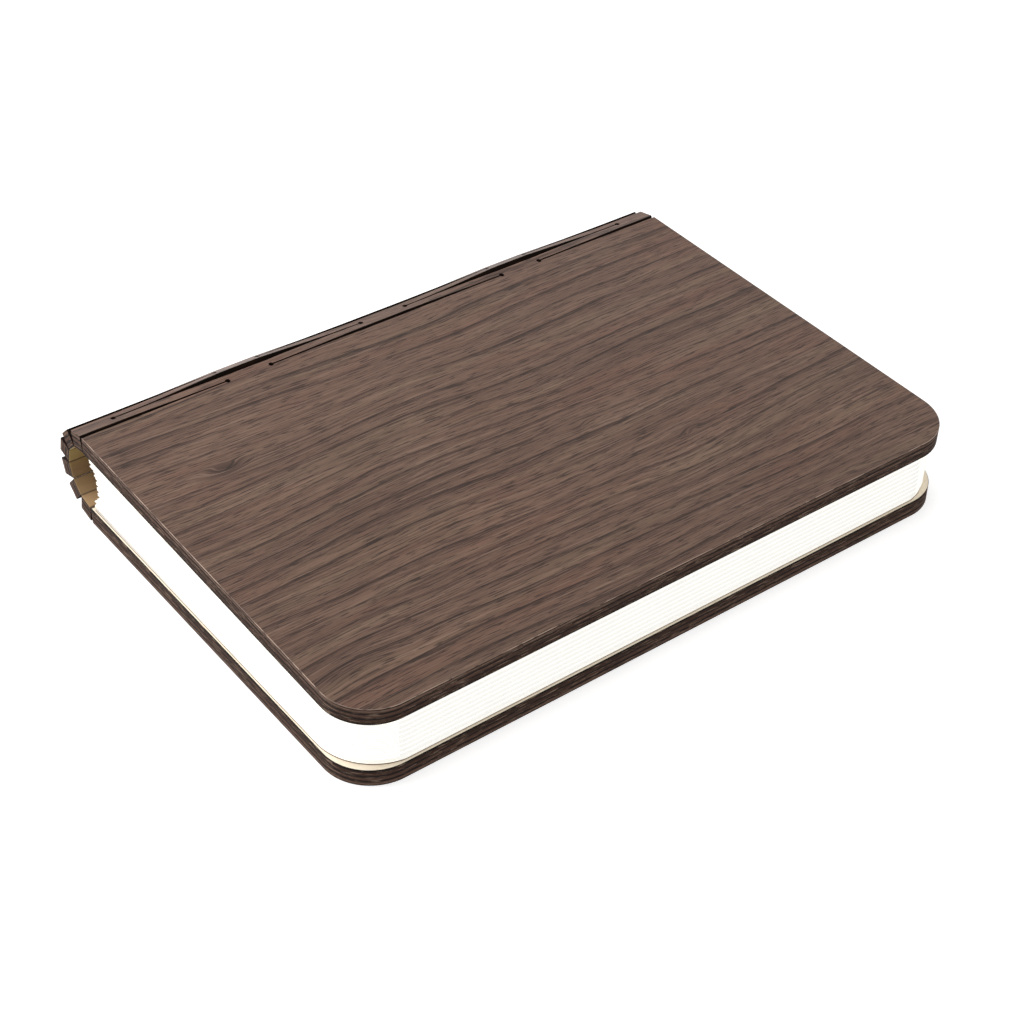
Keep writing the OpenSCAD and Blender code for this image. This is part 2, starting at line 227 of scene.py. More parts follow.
def birch_face():
    """Rotary-cut birch, the inner face of the board: cream with faint streaks. On the staves it is darkened,
    stave by stave in different tans, as painted shade of the spine's hollow, and the laser's smoke leaves
    thin brown stains along the slits."""
    material, tree = blank("birch_face", linear(BIRCH))
    place = add(tree, "UVMap", uv_map="sheet")
    run = add(tree, "SeparateXYZ", [place], out="Y")
    # Painted shade of the spine's hollow: the staves' inner faces darker, each in its own tan, with the
    # covers' cream at both ends
    share = add(tree, "MapRange", [run, -0.5 * PITCH, 6.5 * PITCH, 0.0, 1.0])
    painted_shade_and_smoke = add(tree, "ValToRGB", [share], stops=[
        (0.0, BIRCH), (1.0, BIRCH), (0.065, BIRCH), (0.08, "#A58A62"), (0.21, "#A98F5E"),
        (0.36, "#A58D57"), (0.5, "#9B8052"), (0.57, "#8C6D49"), (0.71, "#9A7A55"), (0.86, "#B3926C"),
        (0.92, "#B3926C"), (0.935, BIRCH)])
    # Brown smoke stains a third of a millimetre wide on both sides of each slit
    part = add(tree, "Math", [add(tree, "Math", [run, PITCH], operation="DIVIDE")], operation="FRACT")
    edge = add(tree, "Math", [part, 0.5], operation="SUBTRACT")
    edge = add(tree, "Math", [edge], operation="ABSOLUTE")
    seam = add(tree, "MapRange", [edge, 0.325, 0.38, 0.0, 0.85])
    within = add(tree, "Math", [add(tree, "Math", [share, 0.5], operation="SUBTRACT")], operation="ABSOLUTE")
    within = add(tree, "Math", [within, 0.44], operation="LESS_THAN")
    seam = add(tree, "Math", [seam, within], operation="MULTIPLY")
    painted_shade_and_smoke = add(tree, "Mix", {0: seam, 6: painted_shade_and_smoke, 7: linear("#3B2A1C")}, out=2, data_type="RGBA")
    colour, streak = coats(tree, place, painted_shade_and_smoke,
                           ((34, 4, 1000), 4, 0.4, 0.7, 0.2, "#D3BB95"),
                           ((4, 0.6, 1000), 2, 0.6, 0.72, 0.25, "#B08F66"))
    bump = add(tree, "Bump", {"Height": streak, "Distance": 0.05 * MM, "Strength": 0.2})
    add(tree, "OutputMaterial", [add(tree, "BsdfPrincipled", {
        "Base Color": colour, "Roughness": 0.66, "Specular IOR Level": 0.3, "Normal": bump})])
    return material


def charred_edge():
    """Laser-cut edge of the board: burnt plies in brown layers, with the glue lines almost black and pale
    marks where the edge has been rubbed."""
    material, tree = blank("charred_edge", linear("#3A2B27"))
    place = add(tree, "UVMap", uv_map="sheet")
    height = add(tree, "SeparateXYZ", [place], out="Y")
    spread = add(tree, "Mapping", {"Vector": place, "Scale": (60.0, 1.0, 1.0)})
    waver = add(tree, "TexNoise", {"Vector": spread, "Scale": 1.0, "Detail": 3.0})
    height = add(tree, "Math", [waver, 0.3 * MM, height], operation="MULTIPLY_ADD")
    share = add(tree, "MapRange", [height, -HALF_BOARD + 0.15 * MM, HALF_BOARD + 0.15 * MM, 0.0, 1.0])
    plies = add(tree, "ValToRGB", [share], stops=[
        (0.0, "#120906"), (1.0, "#1A0F0B"), (0.10, "#160C09"), (0.13, "#3E2A21"), (0.33, "#4E382E"),
        (0.35, "#150C08"), (0.42, "#180E0A"), (0.45, "#4F392F"), (0.63, "#664C40"), (0.65, "#1A100C"),
        (0.73, "#160D0A"), (0.76, "#5A4236"), (0.86, "#846B5D"), (0.91, "#5A4236"), (0.94, "#180E0B")])
    colour, streak = coats(tree, place, plies,
                           ((22, 0.6, 1000), 3, 0.46, 0.62, 0.5, "#150C09"),
                           ((5, 0.35, 1000), 3, 0.575, 0.62, 0.65, "#9E8674"),
                           ((1.8, 0.3, 1000), 2, 0.55, 0.62, 0.5, "#120A08"))
    bump = add(tree, "Bump", {"Height": streak, "Distance": 0.1 * MM, "Strength": 0.35}, invert=True)
    add(tree, "OutputMaterial", [add(tree, "BsdfPrincipled", {
        "Base Color": colour, "Roughness": 0.8, "Specular IOR Level": 0.18, "Normal": bump})])
    return material


def burnt_slit():
    """Walls of the laser's narrow slits: burnt almost black, with a little brown where plies show through."""
    soot = linear("#1A100B")
    material, tree = blank("burnt_slit", soot)
    place = add(tree, "UVMap", uv_map="sheet")
    colour, streak = coats(tree, place, soot,
                           ((9, 0.5, 1000), 3, 0.5, 0.66, 0.6, "#3A2518"),
                           ((2, 0.3, 1000), 2, 0.5, 0.62, 0.6, "#0D0806"))
    bump = add(tree, "Bump", {"Height": streak, "Distance": 0.1 * MM, "Strength": 0.3}, invert=True)
    add(tree, "OutputMaterial", [add(tree, "BsdfPrincipled", {
        "Base Color": colour, "Roughness": 0.85, "Specular IOR Level": 0.12, "Normal": bump})])
    return material


def worn_highlit_arris(pale):
    """Arris of the veneer: pale all along, partly rubbed by hands and packing and partly a painted highlight
    of the rounded edge, broken by darker patches.
    """
    material, tree = blank("worn_highlit_arris", pale)
    place = add(tree, "UVMap", uv_map="sheet")
    colour, _ = coats(tree, place, pale,
                      ((14, 1, 1000), 3, 0.46, 0.54, 0.75, "#6A5348"),
                      ((3, 0.4, 1000), 2, 0.56, 0.62, 0.7, "#3E2D26"))
    add(tree, "OutputMaterial", [add(tree, "BsdfPrincipled", {
        "Base Color": colour, "Roughness": 0.55, "Specular IOR Level": 0.3})])
    return material


def spun_paper(name, paper, foot_line_from=None):
    """Spun-bonded polyethylene paper: white, matt and translucent, with fine random fibres. It gives off a
    painted glow of its own: a little over its faces, and more in a rim of a millimetre at its folds and
    edges, so that the rim looks brighter than the faces. A glued page is brown, and without the glow, for its
    lowest quarter of a millimetre, over the cover that it starts from."""
    material, tree = blank(name, paper.colour)
    place = add(tree, "TexCoord", out="Object")
    colour, fibre = coats(tree, place, paper.colour,
                          ((9, 9, 9), 2, 0.45, 0.7, 0.4, "#E8E5DC"),
                          ((1.1, 1.1, 1.1), 4, 0.45, 0.65, 0.35, "#E3E1D8"))
    # Distance from the centre of the nearest corner's arc, which is the radius all along the rim
    r = paper.corner_radius
    away = add(tree, "VectorMath", [place], operation="ABSOLUTE")
    away = add(tree, "VectorMath", [away, (PAGE_REACH[0] - r, PAGE_REACH[1] - r, 0.0)], operation="SUBTRACT")
    away = add(tree, "VectorMath", [away, (0.0, 0.0, 0.0)], operation="MAXIMUM")
    away = add(tree, "VectorMath", [away, (1.0, 1.0, 0.0)], operation="MULTIPLY")
    away = add(tree, "VectorMath", [away], out="Value", operation="LENGTH")
    rim = add(tree, "MapRange", [away, r - 1.2 * MM, r - 0.4 * MM, 0.0, 1.0], interpolation_type="SMOOTHSTEP")
    # Painted glow: dim over the faces, full at the rim
    painted_glow = add(tree, "Mix", {0: rim, 6: linear("#5C5B58"), 7: paper.glow_colour}, out=2, data_type="RGBA")
    # Foot of the page: brown, and without glow, for its lowest quarter of a millimetre over the cover
    if foot_line_from is not None:
        height = add(tree, "SeparateXYZ", [place], out="Z")
        foot_line = add(tree, "MapRange", [height, foot_line_from + 0.2 * MM, foot_line_from + 0.3 * MM, 1.0, 0.0])
        colour = add(tree, "Mix", {0: foot_line, 6: colour, 7: linear("#70502F")}, out=2, data_type="RGBA")
        painted_glow = add(tree, "Mix", {0: foot_line, 6: painted_glow, 7: (0, 0, 0, 1)}, out=2, data_type="RGBA")
    bump = add(tree, "Bump", {"Height": fibre, "Distance": 0.04 * MM, "Strength": 0.2})
    add(tree, "OutputMaterial", [add(tree, "BsdfPrincipled", {
        "Base Color": colour, "Roughness": 0.85, "Emission Color": painted_glow, "Emission Strength": paper.glow,
        "Normal": bump})])
    return material


def moulded(name, code, dull, roughness, grit=0.4, **sockets):
    """Moulded or coated plastic: an even colour that dulls in soft patches, over fine mould grit."""
    material, tree = blank(name, linear(code))
    place = add(tree, "TexCoord", out="Object")
    colour, cloud = coats(tree, place, linear(code), ((7, 7, 7), 3, 0.38, 0.65, 0.7, dull))
    rough = add(tree, "MapRange", [cloud, 0.0, 0.7, roughness - 0.05, roughness + 0.07])
    spread = add(tree, "Mapping", {"Vector": place, "Scale": [1 / (grit * MM)] * 3})
    grains = add(tree, "TexNoise", {"Vector": spread, "Scale": 1.0, "Detail": 2.0})
    bump = add(tree, "Bump", {"Height": grains, "Distance": 0.02 * MM, "Strength": 0.3})
    add(tree, "OutputMaterial", [add(tree, "BsdfPrincipled", {
        "Base Color": colour, "Roughness": rough, "Normal": bump, **sockets})])
    return material


def plated_nickel():
    """Nickel plating over steel: bright and slightly warm, with faint drawn lines."""
    material, tree = blank("plated_nickel", linear("#C9C4BA"))
    place = add(tree, "TexCoord", out="Object")
    colour, lines = coats(tree, place, linear("#D2CEC6"), ((3.3, 3.3, 0.25), 2, 0.35, 0.65, 1.0, "#BDB7AC"))
    rough = add(tree, "MapRange", [lines, 0.0, 1.0, 0.18, 0.32])
    add(tree, "OutputMaterial", [add(tree, "BsdfPrincipled", {
        "Base Color": colour, "Roughness": rough, "Metallic": 1.0})])
    return material


def pouch_foil():
    """Aluminium pouch foil of the cell: satin silver with soft dents."""
    material, tree = blank("pouch_foil", linear("#C4C6C9"))
    place = add(tree, "TexCoord", out="Object")
    colour, dent = coats(tree, place, linear("#D0D2D5"), ((8, 4, 4), 3, 0.35, 0.65, 1.0, "#AEB0B4"))
    bump = add(tree, "Bump", {"Height": dent, "Distance": 0.3 * MM, "Strength": 0.35})
    add(tree, "OutputMaterial", [add(tree, "BsdfPrincipled", {
        "Base Color": colour, "Roughness": 0.38, "Metallic": 1.0, "Normal": bump})])
    return material


def woven_tape():
    """Plain-woven cotton tape: threads a third of a millimetre apart, over and under."""
    material, tree = blank("woven_cotton", linear("#E9E4D8"))
    place = add(tree, "TexCoord", out="Object")
    threads = [add(tree, "TexWave", {"Vector": place, "Scale": 480.0, "Distortion": 1.0}, out=1,
                   bands_direction=way) for way in ("X", "DIAGONAL")]
    weave = add(tree, "Math", threads, operation="MULTIPLY")
    colour = add(tree, "Mix", {0: weave, 6: linear("#CFC8B8"), 7: linear("#EFEBE0")}, out=2, data_type="RGBA")
    bump = add(tree, "Bump", {"Height": weave, "Distance": 0.1 * MM, "Strength": 0.4})
    add(tree, "OutputMaterial", [add(tree, "BsdfPrincipled", {
        "Base Color": colour, "Roughness": 0.85, "Normal": bump})])
    return material


# Meshes

def build(name, shells, materials):
    """One object of closed shells. A shell is its vertices and groups of faces: vertex numbers by face,
    the UV place of each corner and the material's number."""
    points, faces, places, slots = [], [], [], []
    count = 0
    for vertices, groups in shells:
        points.append(vertices.reshape(-1, 3))
        for numbers, uv, slot in groups:
            faces += (numbers + count).tolist()
            places.append(uv.reshape(-1, 2))
            slots.append(np.broadcast_to(slot, len(numbers)))
        count += len(points[-1])
    mesh = bpy.data.meshes.new(name)
    mesh.from_pydata(np.concatenate(points).tolist(), [], faces)
    mesh.uv_layers.new(name="sheet").data.foreach_set("uv", np.concatenate(places).astype(np.float32).ravel())
    mesh.polygons.foreach_set("material_index", np.concatenate(slots).astype(np.int32))
    for material in materials:
        mesh.materials.append(material)
    solid = bmesh.new()
    solid.from_mesh(mesh)
    bmesh.ops.recalc_face_normals(solid, faces=solid.faces)
    solid.to_mesh(mesh)
    solid.free()
    soften(mesh)
    obj = bpy.data.objects.new(name, mesh)
    bpy.context.scene.collection.objects.link(obj)
    return obj


def soften(mesh):
    """Smooth shading, kept sharp at edges of over 30 degrees."""
    mesh.polygons.foreach_set("use_smooth", np.ones(len(mesh.polygons), bool))
    mesh.set_sharp_from_angle(angle=math.radians(30))


def on_board(x, across, height, fold, turn):
    """Points of a piece of board that turns about a fold: the fold, plus the way across the board
    towards the back cover along its lean, plus the height over its middle along its outer normal."""
    y = FOLDS[fold, 0] + across * np.cos(turn) + height * np.sin(turn)
    z = FOLDS[fold, 1] - across * np.sin(turn) + height * np.cos(turn)
    return np.stack(np.broadcast_arrays(x, y, z), -1)


def quads(rows, columns):
    """Vertex numbers of the faces of a grid that closes on itself, last column to first."""
    first = np.arange(rows - 1)[:, None] * columns
    column = np.arange(columns)[None, :]
    after = (column + 1) % columns
    return np.stack([first + column, first + after, first + columns + after, first + columns + column], -1)


def turned_share(board, x, fold):
    """How far a strip has turned from its stave towards its fold's other side: three times the square of the
    way it has come, less twice its cube. The way is 0 at the stave's own bridges. At the bridge over the
    fold it is a half at an inner fold, where both strips meet half way, and 1 at a cover."""
    x = np.abs(x)
    inside = (x - board.mid_bridge) / (board.fold_bridge_from - board.mid_bridge)
    outside = (board.end_bridge - x) / (board.end_bridge - board.fold_bridge_to)
    way = np.clip(np.where(x < board.fold_bridge_from, inside, outside), 0, 1)
    way = way * (1.0 if fold in (0, STAVES) else 0.5)
    return way * way * (3 - 2 * way)


def with_keyholes(board, gap, x, faces):
    """Half the width of a slit, widened to a round keyhole that touches each bridge's face.
    Faces are places along X with the direction in which the slit runs from them."""
    r = board.keyhole
    rounding = 1e-9
    for face, way in faces:
        inside = (np.abs(x) - face) * way
        bulge = np.sqrt(np.clip(r * r - (inside - r) ** 2, 0, None))
        gap = np.where((inside > -rounding) & (inside < r), bulge, gap)
        gap = np.where((inside >= r) & (inside < 2 * r), np.maximum(gap, bulge), gap)
    return gap


def fold_gap(board, x, fold):
    """Half the slit along a fold, at the board's middle: what two square edges need to fold by the angle
    that is left between them at x, or half the laser's cut if that is more. It is 0 in the fold's bridges."""
    share = turned_share(board, x, fold)
    left = FOLD_ANGLE[fold] * (1 - share * (1 if fold in (0, STAVES) else 2))
    gap = np.maximum(HALF_BOARD * np.tan(left / 2) + HAIR, board.cut / 2)
    bridge = (np.abs(x) > board.fold_bridge_from) & (np.abs(x) < board.fold_bridge_to)
    faces = ((board.fold_bridge_from, -1), (board.fold_bridge_to, 1))
    return np.where(bridge, 0, with_keyholes(board, gap, x, faces))


def stave_gap(board, x, stave):
    """Half the slit along the middle of a stave: what its two strips need where they have turned away from
    each other, or half the laser's cut if that is more. It is 0 in the stave's own bridges."""
    turned = sum(FOLD_ANGLE[fold] * turned_share(board, x, fold) for fold in (stave - 1, stave))
    gap = np.maximum(HALF_BOARD * np.tan(turned / 2) + HAIR, board.cut / 2)
    bridge = (np.abs(x) < board.mid_bridge) | (np.abs(x) > board.end_bridge)
    faces = ((board.mid_bridge, 1), (board.end_bridge, -1))
    return np.where(bridge, 0, with_keyholes(board, gap, x, faces))


def keyhole_stations(board):
    """Distances from a bridge's face over the keyhole there, at even steps round it."""
    return board.keyhole * (1 - np.cos(np.linspace(0, math.pi, KEYHOLE_STEPS)))


def strip_stations(board, start, end):
    """Places along X from one bridge to the next, close together round the keyhole at each end."""
    key = keyhole_stations(board)
    between = np.linspace(start + 2 * board.keyhole, end - 2 * board.keyhole, RUN_STEPS)[1:-1]
    return np.concatenate([start + key, between, (end - key)[::-1]])


def strip(board, x, low, high, low_gap, high_gap, fold, turn, worn=0.0):
    """A length of board between two cuts, as a shell. Its section is an octagon: a rectangle from low to
    high across the board, with an arris at each outer edge and a hair at each inner one, which close
    against their neighbours. It is carried along X and turned about its fold. Worn draws in the ends."""
    arris_low = np.minimum(board.slit_arris, low_gap)
    arris_high = np.minimum(board.slit_arris, high_gap)
    low, high, top = low + worn, high - worn, HALF_BOARD - worn + 0 * x
    across = [low + arris_low, high - arris_high, high, high, high - HAIR, low + HAIR, low, low]
    across = np.stack(across, -1)
    height = np.stack([top, top, top - arris_high, HAIR - top, -top, -top, HAIR - top, top - arris_low], -1)
    station = np.broadcast_to(x[:, None], across.shape)
    points = on_board(station, across, height, fold, np.broadcast_to(turn, x.shape)[:, None])
    sheet = np.stack([station, fold * PITCH + across], -1).reshape(-1, 2)
    wall = np.stack([station, height], -1).reshape(-1, 2)
    numbers = quads(*across.shape)
    groups = []
    for column, slot in enumerate((OUTER, SLIT, SLIT, SLIT, INNER, SLIT, SLIT, SLIT)):
        face = numbers[:, column]
        groups.append((face, (wall if slot == SLIT else sheet)[face], slot))
    ends = np.arange(across.size).reshape(across.shape)[[0, -1]]
    section = np.stack([across, height], -1).reshape(-1, 2)
    groups.append((ends, section[ends], EDGE))
    return points, groups


def both_ways(x):
    """Places along X on the far side and their mirror on the near side, each from low to high."""
    return ((-x)[::-1], x)


def stave_bridges(board, stave):
    """The uncut lengths of a stave, two strips wide: one in its middle and one at each end."""
    # The last station is drawn in by an arris, and the second only breaks the length
    worn = np.array([0, 0, 0, board.slit_arris])
    end = np.array([board.end_bridge, board.end_bridge + 4 * MM, HALF_LENGTH - board.slit_arris, HALF_LENGTH])
    middle = np.linspace(-board.mid_bridge, board.mid_bridge, 4)
    for x, wear in ((-end[::-1], worn[::-1]), (middle, np.zeros(4)), (end, worn)):
        low, high = fold_gap(board, x, stave - 1), fold_gap(board, x, stave)
        yield strip(board, x, low, PITCH - high, low, high, stave - 1, LEAN[stave], wear)


def fold_bridges(board, fold):
    """The uncut lengths over an inner fold, half way between the two staves."""
    for x in both_ways(np.linspace(board.fold_bridge_from, board.fold_bridge_to, BRIDGE_STEPS)):
        low, high = stave_gap(board, x, fold), stave_gap(board, x, fold + 1)
        middle = (LEAN[fold] + LEAN[fold + 1]) / 2
        yield strip(board, x, low - PITCH / 2, PITCH / 2 - high, low, high, fold, middle)


def twisting_strip(board, stave, near_back, x):
    """One strip of a stave between a bridge of the stave and a bridge over its fold. It turns about the fold
    by the share that it has reached, so its ends lie flush with both bridges."""
    fold = stave if near_back else stave - 1
    turned = FOLD_ANGLE[fold] * turned_share(board, x, fold)
    at_fold, at_middle = fold_gap(board, x, fold), stave_gap(board, x, stave)
    if near_back:
        span, turn = (at_middle - PITCH / 2, -at_fold, at_middle, at_fold), LEAN[stave] + turned
    else:
        span, turn = (at_fold, PITCH / 2 - at_middle, at_fold, at_middle), LEAN[stave] - turned
    return strip(board, x, *span, fold, turn)


def cover_edge(board, fold):
    """The cover's cut edge at its fold, from one end to the other, as X, distance from the fold and arris.
    Between the slits two tongues reach over the fold to the middle of the first stave."""
    stave = 1 if fold == 0 else STAVES
    key = keyhole_stations(board)
    slit = np.linspace(0, board.fold_bridge_from - 2 * board.keyhole, RUN_STEPS)[:-1]
    slit = np.concatenate([slit, (board.fold_bridge_from - key)[::-1]])
    tongue = np.linspace(board.fold_bridge_from, board.fold_bridge_to, BRIDGE_STEPS)
    end = np.linspace(board.fold_bridge_to + 2 * board.keyhole, HALF_LENGTH, RUN_STEPS)[1:]
    end = np.concatenate([board.fold_bridge_to + key, end])
    x = np.concatenate([slit, tongue, end])
    gap, reach = fold_gap(board, x, fold), stave_gap(board, x, stave)
    is_tongue = np.repeat([False, True, False], [len(slit), len(tongue), len(end)])
    away = np.where(is_tongue, reach - PITCH / 2, gap)
    arris = np.minimum(board.slit_arris, np.where(is_tongue, reach, gap))
    return (np.concatenate([-x[:0:-1], x]), np.concatenate([away[:0:-1], away]),
            np.concatenate([arris[:0:-1], arris]))


def cover(board, fold, turn, way):
    """A cover as a shell: its outline, square at the spine and rounded at the fore-edge, carried over a
    profile of four rings that round off both arrises, and closed by its two faces."""
    edge_x, edge_away, edge_arris = cover_edge(board, fold)
    quarter = np.linspace(0, math.pi / 2, CORNER_STEPS)
    angle = np.concatenate([quarter, quarter + math.pi / 2])
    side = np.repeat([1, -1], len(quarter))

    def ring(inset, height):
        at_spine = edge_arris if height > 0 else np.minimum(edge_arris, HAIR)
        arris = np.concatenate([at_spine, np.full(len(angle), board.rim_width)])
        r = board.corner_radius
        limit = HALF_LENGTH - inset * board.rim_width
        round_r = r - inset * board.rim_width
        corners = side * (HALF_LENGTH - r) + round_r * np.cos(angle)
        x = np.concatenate([np.clip(edge_x, -limit, limit), corners])
        away = np.concatenate([edge_away + inset * at_spine, COVER_DEPTH - r + round_r * np.sin(angle)])
        return x, way * away, height * (HALF_BOARD - (1 - inset) * arris)

    rings = [ring(1, 1), ring(0, 1), ring(0, -1), ring(1, -1)]
    x, across, height = (np.array([one[i] for one in rings]) for i in range(3))
    points = on_board(x, across, height, fold, turn)
    sheet = np.stack([x, fold * PITCH + across], -1).reshape(-1, 2)
    run = np.hypot(np.diff(x[1], append=x[1, :1]), np.diff(across[1], append=across[1, :1]))
    start = np.concatenate([[0], np.cumsum(run)])
    along = np.stack([start[:-1], start[1:], start[1:], start[:-1]], -1)
    flat = height.reshape(-1)
    on_spine = np.arange(x.shape[1]) < len(edge_x) - 1
    groups = []
    for face, rest in zip(quads(*x.shape), (ARRIS, EDGE, EDGE)):
        slots = np.where(on_spine, SLIT, rest)
        groups.append((face, np.stack([along, flat[face]], -1), slots))
    numbers = np.arange(x.size).reshape(x.shape)
    groups += [(face, sheet[face], slot) for face, slot in ((numbers[:1], OUTER), (numbers[-1:], INNER))]
    return points, groups


def pocket(node, fold, turn, clearance):
    """The round pockets of a node's magnets in a cover, as shells: each is a prism round the magnet, as deep
    as the magnet lies, and open through the inner face."""
    mesh = frame["nodes"][node].data
    co = np.zeros(len(mesh.vertices) * 3)
    mesh.vertices.foreach_get("co", co)
    co = co.reshape(-1, 3)
    y, z = co[:, 1] - FOLDS[fold, 0], co[:, 2] - FOLDS[fold, 1]
    across = y * math.cos(turn) - z * math.sin(turn)
    height = y * math.sin(turn) + z * math.cos(turn)
    radius = (across.max() - across.min()) / 2
    first, last = co[:, 0].min() + radius, co[:, 0].max() - radius
    angle = np.arange(POCKET_SIDES) * math.tau / POCKET_SIDES
    for centre in (first, last) if last - first > radius else (first,):
        x = centre + (radius + clearance) * np.cos(angle)
        away = (across.max() + across.min()) / 2 + (radius + clearance) * np.sin(angle)
        levels = np.array([height.max(), -HALF_BOARD - 1 * MM])[:, None]
        points = on_board(np.broadcast_to(x, (2, POCKET_SIDES)), away, levels, fold, turn)
        sides, caps = quads(2, POCKET_SIDES)[0], np.arange(2 * POCKET_SIDES).reshape(2, POCKET_SIDES)
        yield points, [(faces, np.zeros((*faces.shape, 2)), SLIT) for faces in (sides, caps)]


def cut(obj, cutter):
    """Takes the cutter out of obj and removes the cutter."""
    modifier = obj.modifiers.new("pockets", "BOOLEAN")
    modifier.operation = "DIFFERENCE"
    modifier.solver = "EXACT"
    modifier.object = cutter
    graph = bpy.context.evaluated_depsgraph_get()
    mesh = bpy.data.meshes.new_from_object(obj.evaluated_get(graph))
    obj.modifiers.clear()
    old, obj.data = obj.data, mesh
    mesh.name = obj.name
    bpy.data.meshes.remove(old)
    bpy.data.objects.remove(cutter)
    soften(mesh)


def board_finishes(board):
    """The board's five finishes in the order of the meshes' slots. Only the covers have the fifth."""
    makers = ((walnut_veneer, board.veneer), (birch_face,), (burnt_slit,), (charred_edge,),
              (worn_highlit_arris, board.rim))
    return [bpy.data.materials.get(make.__name__) or make(*colour) for make, *colour in makers]


def dress(material, *names):
    """Gives CAD nodes a finish."""
    for name in names:
        slots = frame["nodes"][name].data.materials
        slots.clear()
        slots.append(material)


# Sizes and colours

class BoardSettings(bpy.types.PropertyGroup):
    """Sizes and finishes of the laser-cut board."""

    mid_bridge: FloatProperty(
        name="Middle bridge", description="Half length of the bridge in the middle of a stave",
        default=6 * MM, unit="LENGTH", precision=5)
    end_bridge: FloatProperty(
        name="End bridge", description="Where the bridge at the end of a stave starts",
        default=75.7 * MM, unit="LENGTH", precision=5)
    fold_bridge_from: FloatProperty(
        name="Fold bridge from", description="Start of the bridge over a fold",
        default=35 * MM, unit="LENGTH", precision=5)
    fold_bridge_to: FloatProperty(
        name="Fold bridge to", description="End of the bridge over a fold",
        default=45.75 * MM, unit="LENGTH", precision=5)
    keyhole: FloatProperty(
        name="Keyhole", description="Radius of the keyhole at a slit's end",
        default=0.6 * MM, unit="LENGTH", precision=5)
    cut: FloatProperty(
        name="Laser cut", description="Width of the laser's cut",
        default=0.24 * MM, unit="LENGTH", precision=5)
    slit_arris: FloatProperty(
        name="Slit arris", description="Width of the arris along the slits",
        default=0.12 * MM, unit="LENGTH", precision=5)
    rim_width: FloatProperty(
        name="Rim", description="Width of the worn arris round a cover",
        default=0.13 * MM, unit="LENGTH", precision=5)
    corner_radius: FloatProperty(
        name="Corner radius", description="Radius of the fore-edge corners",
        default=12 * MM, unit="LENGTH", precision=5)
    magnet_clearance: FloatProperty(
        name="Magnet clearance", description="Gap between a magnet and its pocket",
        default=0.1 * MM, unit="LENGTH", precision=5)
    veneer: FloatVectorProperty(
        name="Veneer", description="Ground colour of the walnut", subtype="COLOR", size=4,
        default=linear("#775C4E"))
    # The arris's pale colour: wear and a painted highlight together
    rim: FloatVectorProperty(
        name="Rim colour", description="Colour of the worn arris", subtype="COLOR", size=4,
        default=linear("#BFA594"))


class PaperSettings(bpy.types.PropertyGroup):
    """Finish of the pages."""

    colour: FloatVectorProperty(
        name="Paper", description="Colour of the paper", subtype="COLOR", size=4,
        default=linear("#EEECE5"))
    corner_radius: FloatProperty(
        name="Page corner radius", description="Radius of the pages' fore-edge corners",
        default=14.5 * MM, unit="LENGTH", precision=5)
    # Colour of the paper's painted glow
    glow_colour: FloatVectorProperty(
        name="Glow", description="Colour of light that comes through", subtype="COLOR", size=4,
        default=linear("#FFFEFB"))
    # Strength of the paper's painted glow, full at its rim and dim over its faces
    glow: FloatProperty(
        name="Glow strength", description="Light that leaves the paper at its rim",
        default=0.48, min=0.0)


class BarSettings(bpy.types.PropertyGroup):
    """Finish of the light bar's plastic."""

    plastic_roughness: FloatProperty(
        name="Plastic roughness", description="Roughness of the housing",
        default=0.42, min=0.0, max=1.0)


class StageSettings(bpy.types.PropertyGroup):
    """Camera, light and floor."""

    focal: FloatProperty(
        name="Focal length", description="Focal length in millimetres on a 36 mm sensor",
        default=72.97, min=10.0)
    world_light: FloatProperty(
        name="World light", description="Strength of the even light all round", default=0.5)
    key_power: FloatProperty(
        name="Key power", description="Power of the softbox behind and above", default=2.5, unit="POWER")
    key_size: FloatProperty(
        name="Key size", description="Side of the square softbox", default=0.5, unit="LENGTH")
    key_place: FloatVectorProperty(
        name="Key place", description="Middle of the softbox", subtype="TRANSLATION", size=3,
        default=(-0.3, 0.3, 0.42), unit="LENGTH")
    floor: FloatVectorProperty(
        name="Floor", description="Colour of the floor", subtype="COLOR", size=4,
        default=linear("#DCDCDC"))
    floor_lift: FloatProperty(
        name="Floor lift", description="How much the floor is lifted to white for the camera", default=0.66)
    floor_half: FloatProperty(
        name="Floor half side", description="Half the side of the square floor", default=3.0, unit="LENGTH")
    floor_drop: FloatProperty(
        name="Floor drop", description="How far the floor lies under the lamp, so their faces don't coincide",
        default=0.05 * MM, unit="LENGTH", precision=5)


# Operators

class LAMP_OT_covers(bpy.types.Operator):
    """Makes both covers with their cut edges, tongues and magnet pockets"""

    bl_idname = "lamp.covers"
    bl_label = "Covers"

    def execute(self, context):
        board = context.scene.lamp_board
        finishes = board_finishes(board)
        for name, fold, way, magnets in (("front_cover", 0, -1, ("front_cover_magnets", "trigger_magnet")),
                                         ("back_cover", STAVES, 1, ("back_cover_magnets",))):
            turn = LEAN[0] if fold == 0 else LEAN[-1]
            obj = build(name + "_board", [cover(board, fold, turn, way)], finishes)
            shells = [s for node in magnets for s in pocket(node, fold, turn, board.magnet_clearance)]
            cut(obj, build("pocket_cutter", shells, finishes))
            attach(obj, name)
            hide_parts(name)
        return {"FINISHED"}


